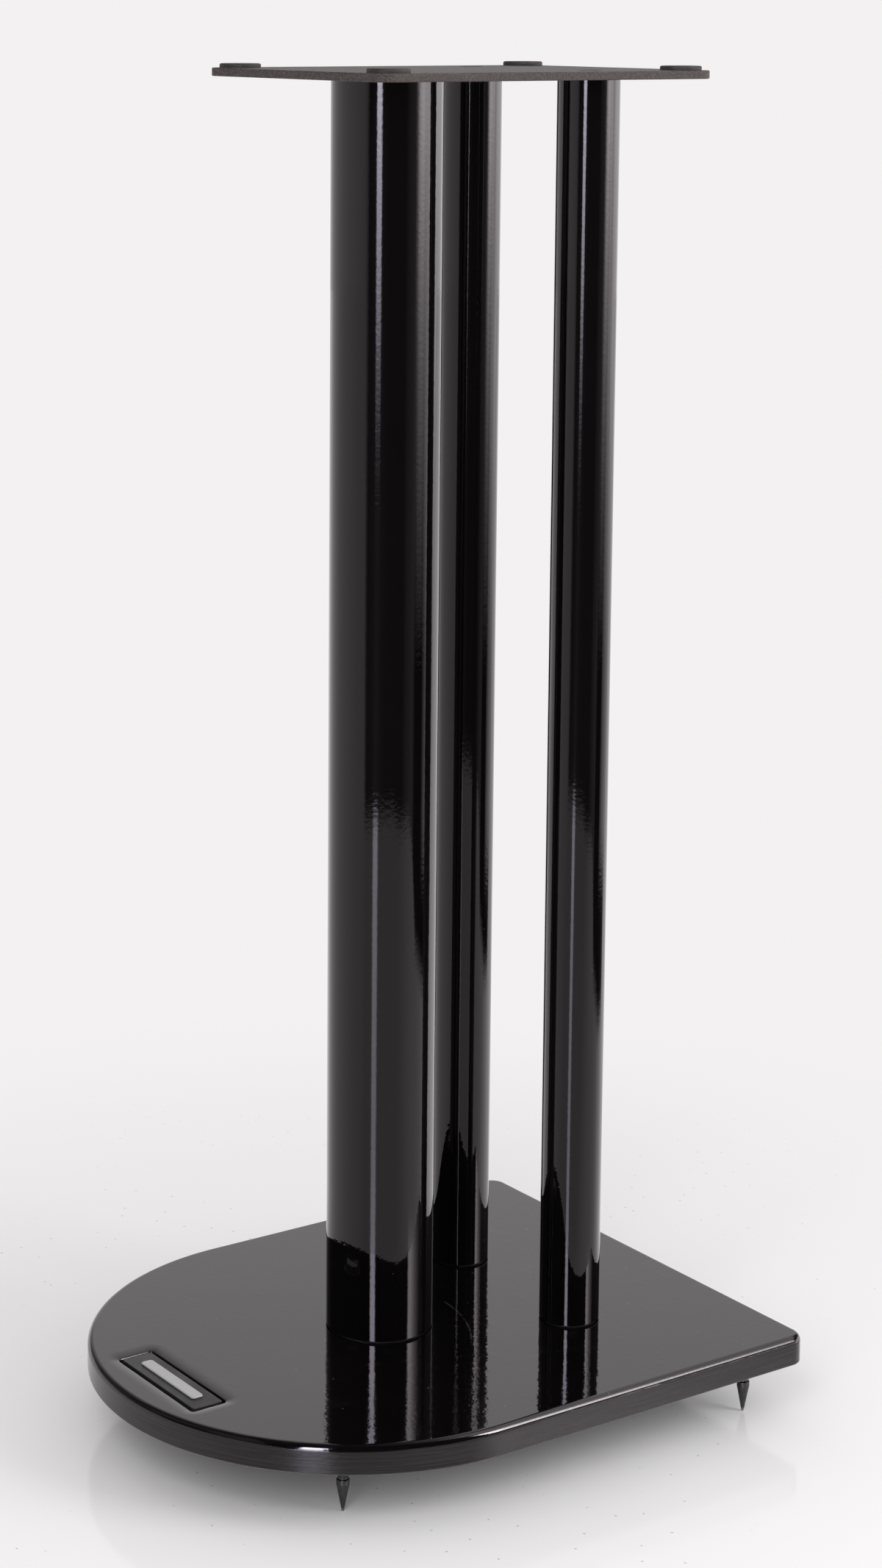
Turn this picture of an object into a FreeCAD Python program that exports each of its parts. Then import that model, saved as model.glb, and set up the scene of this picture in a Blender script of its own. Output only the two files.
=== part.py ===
import FreeCAD, Part
import math
import os

# A three-column steel speaker stand. Millimetres, +Z up, the floor at z = 0 under the
# spike tips, the rounded front of the base towards -Y, origin under the middle of the base.

V = FreeCAD.Vector
UP = V(0, 0, 1)

# ---- Pressed steel base tray -------------------------------------------------------
base_width = 247.0            # also the diameter of the half-round front
base_length = 302.0
tray_depth = 13.5             # top face to the lower edge of the skirt
tray_sheet = 2.0
tray_inner_radius = 1.2       # rolled top edge, inside the sheet
tray_corner_radius = 9.0      # rear corners in plan, outside
skirt_floor_gap = 27.5        # lower edge of the skirt to the floor

# ---- Badge pocket near the front of the tray ---------------------------------------
pocket_width = 66.0
pocket_length = 18.4
pocket_depth = 3.0
pocket_corner_radius = 2.0
pocket_mouth_radius = 1.2     # rolled mouth of the pocket
pocket_setback = 25.6         # front of the tray to the middle of the pocket
badge_edge_gap = 1.5          # between the badge and the pocket wall
badge_thickness = 2.4
badge_corner_radius = 0.8
bar_width = 46.0              # plain raised bar on the badge
bar_length = 6.0
bar_height = 0.9
bar_corner_radius = 1.5

# ---- Columns -----------------------------------------------------------------------
column_length = 586.5
front_column_diameter = 50.8
rear_column_diameter = 28.6
column_wall = 1.6
front_column_y = -10.3
rear_column_y = 69.3
rear_column_spacing = 88.8    # between the axes of the two rear columns
end_plug_thickness = 10.0
plug_fit = 0.03               # radial gap between an end plug and its tube
foot_gasket_thickness = 0.8
foot_gasket_inset = 1.0       # the gasket stops short of the tube, which leaves a shadow line

# ---- Stiffener under the tray ------------------------------------------------------
stiffener_thickness = 3.0
stiffener_margin = 24.0       # metal around the column axes
stiffener_corner_radius = 12.0

# ---- Top plate and its pads --------------------------------------------------------
plate_width = 141.5
plate_length = 184.6
plate_thickness = 3.8
plate_corner_radius = 8.0
plate_edge_radius = 0.5
plate_centre_y = 29.8
pad_diameter = 19.0
pad_thickness = 2.0
pad_inset = 11.6              # plate edge to the middle of a pad
pad_edge_radius = 0.4

# ---- Fasteners ---------------------------------------------------------------------
hole_clearance = 0.25         # radial, around a bolt in a plain hole
thread_clearance = 0.05       # radial, between a thread and its nut or tapped hole
base_bolt_diameter = 8.0
base_bolt_reach = 7.0         # thread inside the foot plug
base_bolt_head_flats = 13.0
base_bolt_head_height = 5.3
washer_diameter = 20.0
washer_thickness = 1.6
top_bolt_diameter = 6.0
top_bolt_reach = 8.0          # thread inside the head plug
top_bolt_head_diameter = 11.4
top_bolt_head_height = 2.9
top_bolt_sink = 0.2           # head below the face of the plate
countersink_gap = 0.2         # radial, around the countersunk head
hex_key_flats = 4.0
hex_key_depth = 1.8

# ---- Levelling spikes --------------------------------------------------------------
spike_diameter = 6.0
spike_cone_length = 13.0
spike_tip_diameter = 1.0
spike_head_room = 4.0         # top of the spike to the underside of the tray
spike_slot_width = 1.2        # screwdriver slot in the top end
spike_slot_depth = 1.5
spike_side_inset = 21.3       # spike axis to the side and rear faces of the skirt
spike_front_inset = 23.0      # spike axis to the round front of the skirt
spike_front_angle = 35.7      # degrees forward of the widest point of the round front
boss_diameter = 14.0
boss_length = 10.0
lock_nut_flats = 10.0
lock_nut_height = 5.0
nut_chamfer = 0.6

# ---- Levels and places worked out from the sizes above ------------------------------
skirt_edge_z = skirt_floor_gap
tray_top_z = skirt_edge_z + tray_depth
tray_underside_z = tray_top_z - tray_sheet
tray_edge_radius = tray_inner_radius + tray_sheet
pocket_floor_z = tray_top_z - pocket_depth
badge_face_z = pocket_floor_z + badge_thickness
column_foot_z = tray_top_z + foot_gasket_thickness
column_head_z = column_foot_z + column_length
plate_top_z = column_head_z + plate_thickness
top_bolt_face_z = plate_top_z - top_bolt_sink
stiffener_underside_z = tray_underside_z - stiffener_thickness
washer_underside_z = stiffener_underside_z - washer_thickness
boss_underside_z = tray_underside_z - boss_length
spike_top_z = tray_underside_z - spike_head_room

front_radius = base_width / 2
round_front_y = -base_length / 2 + front_radius
pocket_y = -base_length / 2 + pocket_setback
rear_column_x = rear_column_spacing / 2

column_places = {
    "front": (0.0, front_column_y, front_column_diameter),
    "rear_left": (-rear_column_x, rear_column_y, rear_column_diameter),
    "rear_right": (rear_column_x, rear_column_y, rear_column_diameter),
}

spike_angle = math.radians(spike_front_angle)
spike_arm = front_radius - spike_front_inset
front_spike_x = spike_arm * math.cos(spike_angle)
front_spike_y = round_front_y - spike_arm * math.sin(spike_angle)
rear_spike_x = base_width / 2 - spike_side_inset
rear_spike_y = base_length / 2 - spike_side_inset
spike_places = {
    "front_left": (-front_spike_x, front_spike_y),
    "front_right": (front_spike_x, front_spike_y),
    "rear_left": (-rear_spike_x, rear_spike_y),
    "rear_right": (rear_spike_x, rear_spike_y),
}

pad_x = plate_width / 2 - pad_inset
pad_reach_y = plate_length / 2 - pad_inset
pad_places = {
    "front_left": (-pad_x, plate_centre_y - pad_reach_y),
    "front_right": (pad_x, plate_centre_y - pad_reach_y),
    "rear_left": (-pad_x, plate_centre_y + pad_reach_y),
    "rear_right": (pad_x, plate_centre_y + pad_reach_y),
}


# ---- Shape helpers -----------------------------------------------------------------
def cylinder(diameter, height, x, y, z):
    return Part.makeCylinder(diameter / 2, height, V(x, y, z), UP)


def tapped(diameter):
    """Bore of a tapped hole or nut for a thread of this diameter."""
    return diameter + 2 * thread_clearance


def plain_hole(diameter):
    return diameter + 2 * hole_clearance


def rounded_block(width, length, height, radius, x, y, z):
    """Upright block with round corners in plan, centred on x, y and standing on z."""
    block = Part.makeBox(width, length, height, V(x - width / 2, y - length / 2, z))
    uprights = [e for e in block.Edges if abs(e.tangentAt(e.FirstParameter).z) > 0.5]
    return block.makeFillet(radius, uprights)


def hexagon(flats, height, x, y, z):
    corner = flats / math.sqrt(3)
    turns = [math.radians(60 * k) for k in range(7)]
    points = [V(x + corner * math.cos(a), y + corner * math.sin(a), z) for a in turns]
    return Part.Face(Part.makePolygon(points)).extrude(UP * height)


def edges_at(shape, z):
    """Edges that lie flat at one level."""
    return [e for e in shape.Edges
            if abs(e.BoundBox.ZMin - z) < 1e-4 and abs(e.BoundBox.ZMax - z) < 1e-4]


def arc(centre_x, centre_y, radius, start, end, z):
    """Arc about a centre, from one angle to another in degrees."""
    angles = [math.radians(a) for a in (start, (start + end) / 2, end)]
    points = [V(centre_x + radius * math.cos(a), centre_y + radius * math.sin(a), z)
              for a in angles]
    return Part.Arc(*points).toShape()


def base_block(inset, height, z):
    """The base outline, drawn in by an inset: a half-round front, straight sides and a
    straight rear edge with round corners."""
    half = base_width / 2 - inset
    rear = base_length / 2 - inset
    corner = tray_corner_radius - inset
    side_end = rear - corner
    rear_end = half - corner
    edges = [
        arc(0, round_front_y, half, 180, 360, z),
        Part.makeLine(V(half, round_front_y, z), V(half, side_end, z)),
        arc(rear_end, side_end, corner, 0, 90, z),
        Part.makeLine(V(rear_end, rear, z), V(-rear_end, rear, z)),
        arc(-rear_end, side_end, corner, 90, 180, z),
        Part.makeLine(V(-half, side_end, z), V(-half, round_front_y, z)),
    ]
    return Part.Face(Part.Wire(edges)).extrude(UP * height)


def bolt_holes(diameter, height, z):
    """One upright cutter at each column axis."""
    return [cylinder(diameter, height, x, y, z) for x, y, _ in column_places.values()]


def save(shape, name):
    solids = shape.Solids
    assert len(solids) == 1 and solids[0].isValid(), name
    solids[0].exportStep("parts/" + name + ".step")


# ---- Base --------------------------------------------------------------------------
def base_shell():
    outside = base_block(0, tray_depth, skirt_edge_z)
    outside = outside.makeFillet(tray_edge_radius, edges_at(outside, tray_top_z))
    inside = base_block(tray_sheet, tray_depth - tray_sheet, skirt_edge_z)
    inside = inside.makeFillet(tray_inner_radius, edges_at(inside, tray_underside_z))
    tray = outside.cut(inside)
    pressing = rounded_block(pocket_width + 2 * tray_sheet, pocket_length + 2 * tray_sheet,
                             pocket_depth + tray_sheet, pocket_corner_radius + tray_sheet,
                             0, pocket_y, pocket_floor_z - tray_sheet)
    tray = tray.fuse(pressing.common(outside)).removeSplitter()
    pocket = rounded_block(pocket_width, pocket_length, pocket_depth, pocket_corner_radius,
                           0, pocket_y, pocket_floor_z)
    tray = tray.cut(pocket)
    mouth = [e for e in edges_at(tray, tray_top_z)
             if abs(e.BoundBox.Center.y - pocket_y) < pocket_length
             and abs(e.BoundBox.Center.x) < pocket_width]
    tray = tray.makeFillet(pocket_mouth_radius, mouth)
    return tray.cut(bolt_holes(plain_hole(base_bolt_diameter), tray_sheet, tray_underside_z))


def badge_plate():
    return rounded_block(pocket_width - 2 * badge_edge_gap, pocket_length - 2 * badge_edge_gap,
                         badge_thickness, badge_corner_radius, 0, pocket_y, pocket_floor_z)


def badge_bar():
    return rounded_block(bar_width, bar_length, bar_height, bar_corner_radius,
                         0, pocket_y, badge_face_z)


def base_stiffener():
    width = rear_column_spacing + 2 * stiffener_margin
    length = rear_column_y - front_column_y + 2 * stiffener_margin
    middle_y = (rear_column_y + front_column_y) / 2
    plate = rounded_block(width, length, stiffener_thickness, stiffener_corner_radius,
                          0, middle_y, stiffener_underside_z)
    holes = bolt_holes(plain_hole(base_bolt_diameter), stiffener_thickness,
                       stiffener_underside_z)
    return plate.cut(holes)


def base_bolt(x, y):
    """Hexagon-head bolt that pulls a column down onto the tray from below."""
    head = hexagon(base_bolt_head_flats, base_bolt_head_height, x, y,
                   washer_underside_z - base_bolt_head_height)
    shank_end_z = column_foot_z + base_bolt_reach
    shank = cylinder(base_bolt_diameter, shank_end_z - washer_underside_z,
                     x, y, washer_underside_z)
    return head.fuse(shank)


def washer(x, y):
    disc = cylinder(washer_diameter, washer_thickness, x, y, washer_underside_z)
    return disc.cut(cylinder(plain_hole(base_bolt_diameter), washer_thickness,
                             x, y, washer_underside_z))


# ---- Columns -----------------------------------------------------------------------
def column(x, y, diameter):
    bore = diameter - 2 * column_wall
    tube = cylinder(diameter, column_length, x, y, column_foot_z)
    return tube.cut(cylinder(bore, column_length, x, y, column_foot_z))


def end_plug(x, y, column_diameter, z, thread):
    """Tapped steel disc inside one end of a column."""
    diameter = column_diameter - 2 * column_wall - 2 * plug_fit
    disc = cylinder(diameter, end_plug_thickness, x, y, z)
    return disc.cut(cylinder(tapped(thread), end_plug_thickness, x, y, z))


def foot_plug(x, y, column_diameter):
    return end_plug(x, y, column_diameter, column_foot_z, base_bolt_diameter)


def head_plug(x, y, column_diameter):
    """The countersink runs on into this plug where the head is deeper than the plate."""
    plug = end_plug(x, y, column_diameter, column_head_z - end_plug_thickness,
                    top_bolt_diameter)
    return plug.cut(countersunk_head(x, y, countersink_gap))


def foot_gasket(x, y, column_diameter):
    disc = cylinder(column_diameter - 2 * foot_gasket_inset, foot_gasket_thickness,
                    x, y, tray_top_z)
    return disc.cut(cylinder(plain_hole(base_bolt_diameter), foot_gasket_thickness,
                             x, y, tray_top_z))


# ---- Top plate ---------------------------------------------------------------------
def countersunk_head(x, y, gap):
    """Cone of a countersunk head, grown all round by a gap."""
    return Part.makeCone(top_bolt_diameter / 2 + gap, top_bolt_head_diameter / 2 + gap,
                         top_bolt_head_height,
                         V(x, y, top_bolt_face_z - top_bolt_head_height), UP)


def top_plate():
    plate = rounded_block(plate_width, plate_length, plate_thickness, plate_corner_radius,
                          0, plate_centre_y, column_head_z)
    rims = edges_at(plate, plate_top_z) + edges_at(plate, column_head_z)
    plate = plate.makeFillet(plate_edge_radius, rims)
    for x, y, _ in column_places.values():
        seat = countersunk_head(x, y, countersink_gap)
        mouth = cylinder(top_bolt_head_diameter + 2 * countersink_gap, top_bolt_sink,
                         x, y, top_bolt_face_z)
        hole = cylinder(top_bolt_diameter + 2 * countersink_gap, plate_thickness,
                        x, y, column_head_z)
        plate = plate.cut([seat, mouth, hole])
    return plate


def top_bolt(x, y):
    """Countersunk bolt with a hexagon socket, down into the head plug."""
    shank_end_z = column_head_z - top_bolt_reach
    head = countersunk_head(x, y, 0)
    shank = cylinder(top_bolt_diameter, top_bolt_face_z - top_bolt_head_height - shank_end_z,
                     x, y, shank_end_z)
    key = hexagon(hex_key_flats, hex_key_depth, x, y, top_bolt_face_z - hex_key_depth)
    return head.fuse(shank).cut(key)


def pad(x, y):
    disc = cylinder(pad_diameter, pad_thickness, x, y, plate_top_z)
    return disc.makeFillet(pad_edge_radius, edges_at(disc, plate_top_z + pad_thickness))


# ---- Levelling spikes --------------------------------------------------------------
def spike_boss(x, y):
    """Tapped boss welded under the tray."""
    boss = cylinder(boss_diameter, boss_length, x, y, boss_underside_z)
    return boss.cut(cylinder(tapped(spike_diameter), boss_length, x, y, boss_underside_z))


def lock_nut(x, y):
    foot_z = boss_underside_z - lock_nut_height
    nut = hexagon(lock_nut_flats, lock_nut_height, x, y, foot_z)
    corner_radius = lock_nut_flats / math.sqrt(3)
    flat_radius = corner_radius - nut_chamfer
    rise = nut_chamfer / 2
    waist = Part.makeCylinder(corner_radius, lock_nut_height - 2 * rise,
                              V(x, y, foot_z + rise), UP)
    lower = Part.makeCone(flat_radius, corner_radius, rise, V(x, y, foot_z), UP)
    upper = Part.makeCone(corner_radius, flat_radius, rise,
                          V(x, y, foot_z + lock_nut_height - rise), UP)
    nut = nut.common(waist.fuse([lower, upper]))
    return nut.cut(cylinder(tapped(spike_diameter), lock_nut_height, x, y, foot_z))


def spike(x, y):
    cone = Part.makeCone(spike_tip_diameter / 2, spike_diameter / 2, spike_cone_length,
                         V(x, y, 0), UP)
    shank = cylinder(spike_diameter, spike_top_z - spike_cone_length,
                     x, y, spike_cone_length)
    slot = Part.makeBox(spike_diameter, spike_slot_width, spike_slot_depth,
                        V(x - spike_diameter / 2, y - spike_slot_width / 2,
                          spike_top_z - spike_slot_depth))
    return cone.fuse(shank).cut(slot)


# ---- Write every piece -------------------------------------------------------------
os.makedirs("parts", exist_ok=True)

save(base_shell(), "base_shell")
save(base_stiffener(), "base_stiffener")
save(badge_plate(), "badge_plate")
save(badge_bar(), "badge_bar")
save(top_plate(), "top_plate")

for place, (x, y, diameter) in column_places.items():
    save(column(x, y, diameter), place + "_column")
    save(foot_plug(x, y, diameter), place + "_foot_plug")
    save(head_plug(x, y, diameter), place + "_head_plug")
    save(foot_gasket(x, y, diameter), place + "_foot_gasket")
    save(base_bolt(x, y), place + "_base_bolt")
    save(washer(x, y), place + "_washer")
    save(top_bolt(x, y), place + "_top_bolt")

for place, (x, y) in pad_places.items():
    save(pad(x, y), place + "_pad")

for place, (x, y) in spike_places.items():
    save(spike_boss(x, y), place + "_spike_boss")
    save(lock_nut(x, y), place + "_lock_nut")
    save(spike(x, y), place + "_spike")
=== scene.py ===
import math

import bpy
import numpy as np
from mathutils import Matrix


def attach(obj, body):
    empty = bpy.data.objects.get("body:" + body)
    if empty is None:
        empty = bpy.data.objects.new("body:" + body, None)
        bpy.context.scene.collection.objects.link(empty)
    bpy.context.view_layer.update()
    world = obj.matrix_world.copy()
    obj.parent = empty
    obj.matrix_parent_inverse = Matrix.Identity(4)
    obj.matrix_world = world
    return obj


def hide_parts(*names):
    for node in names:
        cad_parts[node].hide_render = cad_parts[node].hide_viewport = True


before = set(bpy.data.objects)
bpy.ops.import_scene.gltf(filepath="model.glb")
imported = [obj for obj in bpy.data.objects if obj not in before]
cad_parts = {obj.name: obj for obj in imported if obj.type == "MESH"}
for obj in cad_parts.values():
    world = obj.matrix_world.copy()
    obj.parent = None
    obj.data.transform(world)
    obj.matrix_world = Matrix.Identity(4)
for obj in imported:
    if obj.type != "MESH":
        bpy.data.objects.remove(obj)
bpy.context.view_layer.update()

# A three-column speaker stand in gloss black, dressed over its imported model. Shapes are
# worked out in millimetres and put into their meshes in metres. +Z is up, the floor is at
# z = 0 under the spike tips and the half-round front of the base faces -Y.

MM = 0.001

# ---- Places and levels of the stand, in millimetres ---------------------------------
tray_half_width = 123.5
tray_half_length = 151.0
tray_corner = 9.0
tray_sheet = 2.0
tray_roll = 3.2
skirt_edge_z = 27.5
tray_under_z = 39.0
tray_top_z = 41.0

pocket_y = -125.4
pocket_half_width = 33.0
pocket_half_length = 9.2
pocket_corner = 2.0
pocket_floor_z = 38.0
dish_width = 7.0
dish_depth = 1.0
badge_face_z = 40.4

column_foot_z = 41.8
column_head_z = 628.3
column_wall = 1.6
stiffener_under_z = 36.0
washer_under_z = 34.4
clearance_bore = 4.25
columns = {
    "front": (0.0, -10.3, 25.4),
    "rear_left": (-44.4, 69.3, 14.3),
    "rear_right": (44.4, 69.3, 14.3),
}

plate_half_width = 70.75
plate_half_length = 92.3
plate_corner = 8.0
plate_y = 29.8
plate_top_z = 632.1
top_bolt_face_z = 631.9
pad_radius = 9.5
pad_thickness = 2.0
pads = {
    "front_left": (-59.15, -50.9),
    "front_right": (59.15, -50.9),
    "rear_left": (-59.15, 110.5),
    "rear_right": (59.15, 110.5),
}

boss_foot_z = 29.0
boss_radius = 7.0
spike_bore = 3.05
lock_nut_foot_z = 24.0
thread_root = 2.35
thread_head_z = 34.6
front_spike_reach = 100.5
front_spike_turn = math.radians(35.7)
front_spike_x = front_spike_reach * math.cos(front_spike_turn)
half_round_y = tray_half_width - tray_half_length
front_spike_y = half_round_y - front_spike_reach * math.sin(front_spike_turn)
spikes = {
    "front_left": (-front_spike_x, front_spike_y),
    "front_right": (front_spike_x, front_spike_y),
    "rear_left": (-102.2, 129.7),
    "rear_right": (102.2, 129.7),
}


# ---- Surfaces -----------------------------------------------------------------------
def weld(grids):
    """All the grids' points in one list, with points that coincide made one, and a face
    for every cell of every grid. A cell with two corners in one place becomes a triangle."""
    points, cells, start = [], [], 0
    for grid in grids:
        rows, columns_in_row = grid.shape[:2]
        number = np.arange(rows * columns_in_row).reshape(rows, columns_in_row) + start
        cell = [number[:-1, :-1], number[:-1, 1:], number[1:, 1:], number[1:, :-1]]
        cells.append(np.stack(cell, -1).reshape(-1, 4))
        points.append(grid.reshape(-1, 3))
        start += rows * columns_in_row
    points = np.concatenate(points)
    keys = np.round(points * 5000 + 0.237).astype(np.int64)
    _, first, place = np.unique(keys, axis=0, return_index=True, return_inverse=True)
    faces = place.reshape(-1)[np.concatenate(cells)]
    whole = (np.diff(np.sort(faces, 1), axis=1) > 0).all(1)
    halves = np.concatenate([faces[~whole][:, [0, 1, 2]], faces[~whole][:, [0, 2, 3]]])
    kept = (np.diff(np.sort(halves, 1), axis=1) > 0).all(1)
    return points[first], faces[whole].tolist() + halves[kept].tolist()


def piece(name, grids, finish, body, nodes, crease=40):
    """One closed piece of the stand from its grids of points, smooth but for edges
    sharper than the crease angle, riding on a body and standing for its CAD nodes."""
    points, faces = weld(grids)
    mesh = bpy.data.meshes.new(name)
    mesh.from_pydata((points * MM).tolist(), [], faces)
    mesh.polygons.foreach_set("use_smooth", np.ones(len(faces), bool))
    mesh.set_sharp_from_angle(angle=math.radians(crease))
    mesh.materials.append(finish)
    mesh.update()
    made = bpy.data.objects.new(name, mesh)
    bpy.context.scene.collection.objects.link(made)
    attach(made, body)
    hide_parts(*nodes)
    return made


def section(corners, steps=8, guard=0.15):
    """A line through corners (distance out, level, radius). Each corner with a radius
    becomes a round arc about the point where its two sides, moved in by the radius, meet,
    with a guard point just before and after it that keeps the flats beside it flat."""
    line = []
    for k, (out, level, radius) in enumerate(corners):
        here = np.array([out, level])
        if radius == 0 or k in (0, len(corners) - 1):
            line.append(here[None])
            continue
        back = np.array(corners[k - 1][:2]) - here
        on = np.array(corners[k + 1][:2]) - here
        back, on = back / np.hypot(*back), on / np.hypot(*on)
        half = math.acos(np.clip(back @ on, -1, 1)) / 2
        centre = here + (back + on) / np.hypot(*(back + on)) * radius / math.sin(half)
        reach = radius / math.tan(half)
        first, last = here + back * reach - centre, here + on * reach - centre
        sweep = math.pi - 2 * half
        t = np.linspace(0, 1, steps + 1)[:, None]
        bend = (np.sin((1 - t) * sweep) * first + np.sin(t * sweep) * last) / math.sin(sweep)
        line.append((centre + first + back * guard)[None])
        line.append(centre + bend)
        line.append((centre + last + on * guard)[None])
    return np.concatenate(line)


def full_turn(steps):
    """Angles round a full turn, the last one the same as the first."""
    angle = np.linspace(0, 2 * np.pi, steps + 1)
    angle[-1] = 0.0
    return angle


def rings(out, level, angle, x, y):
    """Points about an upright axis: the distance out times (cos a, sin a), at the level."""
    return np.stack([x + out * np.cos(angle), y + out * np.sin(angle), level + 0 * angle], -1)


def turned(line, x, y, around=96):
    """A section turned about an upright axis: each of its points makes one ring, at its
    distance out and its level."""
    return rings(line[:, :1], line[:, 1:], full_turn(around), x, y)


def outline(half_width, half_length, middle_y, front, rear, arc_steps=12, side_steps=8):
    """Rounded outline seen from above, from the front left corner and anticlockwise, as
    points and the outward directions at them. Each corner is a quarter arc and each side
    a straight run. The front and the rear corners have radii of their own."""
    places = [(-1, -1, front), (1, -1, front), (1, 1, rear), (-1, 1, rear)]
    points, ways = [], []
    centres = [(sx * (half_width - r), middle_y + sy * (half_length - r))
               for sx, sy, r in places]
    for k, (sx, sy, radius) in enumerate(places):
        a = np.radians(180 + 90 * k) + np.linspace(0, np.pi / 2, arc_steps + 1)
        way = np.stack([np.cos(a), np.sin(a)], -1)
        points.append(np.array(centres[k]) + radius * way)
        ways.append(way)
        nxt = places[(k + 1) % 4]
        end = np.array(centres[(k + 1) % 4]) + nxt[2] * way[-1]
        t = np.linspace(0, 1, side_steps + 1)[1:-1, None]
        points.append(points[-1][-1] + t * (end - points[-1][-1]))
        ways.append(np.repeat(way[-1:], side_steps - 1, 0))
    points, ways = np.concatenate(points), np.concatenate(ways)
    step = np.hypot(*(points - np.roll(points, 1, 0)).T)
    return points[step > 1e-6], ways[step > 1e-6]


def closed(loop):
    """A loop with its first point again at its end."""
    return np.concatenate([loop, loop[:1]])


def carried(points, ways, line):
    """A section carried round an outline: each point is the outline's point plus the
    section's distance out times the outward direction there, at the section's level."""
    points, ways = closed(points), closed(ways)
    plan = points[None] + line[:, None, :1] * ways[None]
    level = np.broadcast_to(line[:, None, 1:], plan[..., :1].shape)
    return np.concatenate([plan, level], -1)


def capped(grid, low=None, high=None):
    """A grid of rings closed at its first and last ring by a point in the middle of it."""
    first = grid[0].mean(0) if low is None else np.array(low)
    last = grid[-1].mean(0) if high is None else np.array(high)
    around = grid.shape[1]
    return np.concatenate([np.tile(first, (1, around, 1)), grid, np.tile(last, (1, around, 1))])


def slab(half_width, half_length, middle_y, corner, low, high, edge, **steps):
    """A flat plate with round corners and rounded rims: a section with two round corners
    carried round the plate's outline, closed in the middle of both faces."""
    points, ways = outline(half_width, half_length, middle_y, corner, corner, **steps)
    line = section([(-edge - 0.4, low, 0), (0, low, edge), (0, high, edge),
                    (-edge - 0.4, high, 0)], steps=5, guard=0.05)
    return capped(carried(points, ways, line), (0, middle_y, low), (0, middle_y, high))


def hexagon(angle, flats):
    """Distance from the axis to a hexagon's side: half the width over flats, divided by
    the cosine of the angle from the middle of that side."""
    return flats / 2 / np.cos((angle + np.pi / 6) % (np.pi / 3) - np.pi / 6)


# ---- Base tray ----------------------------------------------------------------------
def bearings(points, ways, centre, out):
    """The bearing about a centre of each of an outline's points, moved out by a distance:
    the arc tangent of how far along it lies over how far across."""
    return np.arctan2(*(points + out * ways - centre).T[::-1])


def matched(points, ways, centre, out, angles):
    """An outline's points and outward directions at given bearings about a centre, read
    off on straight lines between its own points."""
    own = np.unwrap(bearings(points, ways, centre, out))
    own, points, ways = (np.concatenate([part - turn, part, part + turn]) for part, turn in
                         ((own, 2 * np.pi), (points, 0), (ways, 0)))
    plan = np.stack([np.interp(angles, own, points[:, k]) for k in (0, 1)], -1)
    way = np.stack([np.interp(angles, own, ways[:, k]) for k in (0, 1)], -1)
    return plan, way / np.hypot(*way.T)[:, None]


def tray_grids():
    """The pressed tray: one section carried round two outlines that share their angles
    about the badge pocket. It runs from the middle of the pocket's underside out to the
    skirt, down it, back up it, over the rolled edge and in to the pocket's floor. Round
    the pocket the top is drawn down in a shallow dish: its drop is the dish's depth times
    (1 - distance from the pocket / the dish's width) to the power 2.4."""
    centre, inset = np.array([0.0, pocket_y]), -4.0
    rim = outline(tray_half_width, tray_half_length, 0.0, tray_half_width, tray_corner,
                  arc_steps=64, side_steps=24)
    pocket = outline(pocket_half_width, pocket_half_length, pocket_y, pocket_corner,
                     pocket_corner, arc_steps=10, side_steps=24)
    angles = np.concatenate([bearings(*rim, centre, inset), bearings(*pocket, centre, dish_width)])
    angles = np.unique(np.round(angles % (2 * np.pi), 5))
    rim = matched(*rim, centre, inset, angles)
    pocket = matched(*pocket, centre, dish_width, angles)

    under = section([(dish_width, tray_under_z, 0), (2.0, tray_under_z, 1.0),
                     (2.0, pocket_floor_z - tray_sheet, 1.2),
                     (0.2, pocket_floor_z - tray_sheet, 0)], steps=5)
    skirt = section([(inset, tray_under_z, 0), (-tray_sheet, tray_under_z, 1.2),
                     (-tray_sheet, skirt_edge_z, 0.3), (0, skirt_edge_z, 0.55),
                     (0, tray_top_z, tray_roll), (inset, tray_top_z, 0)], steps=12)
    out = np.linspace(dish_width, 0.9, 18)[:, None]
    drop = dish_depth * (1 - out / dish_width) ** 2.4
    lip = tray_top_z - drop[-1, 0]
    wall = section([(0.9, lip, 0), (0, lip - 0.25, 0.6), (0, pocket_floor_z, 0.4),
                    (-1.2, pocket_floor_z, 0)], steps=6, guard=0.05)
    top = carried(*pocket, np.concatenate([np.hstack([out, tray_top_z - drop]), wall[1:]]))
    around = [carried(*pocket, under[::-1]), carried(*rim, skirt), top]
    return [capped(np.concatenate(around), (0, pocket_y, pocket_floor_z - tray_sheet),
                   (0, pocket_y, pocket_floor_z))]


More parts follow.
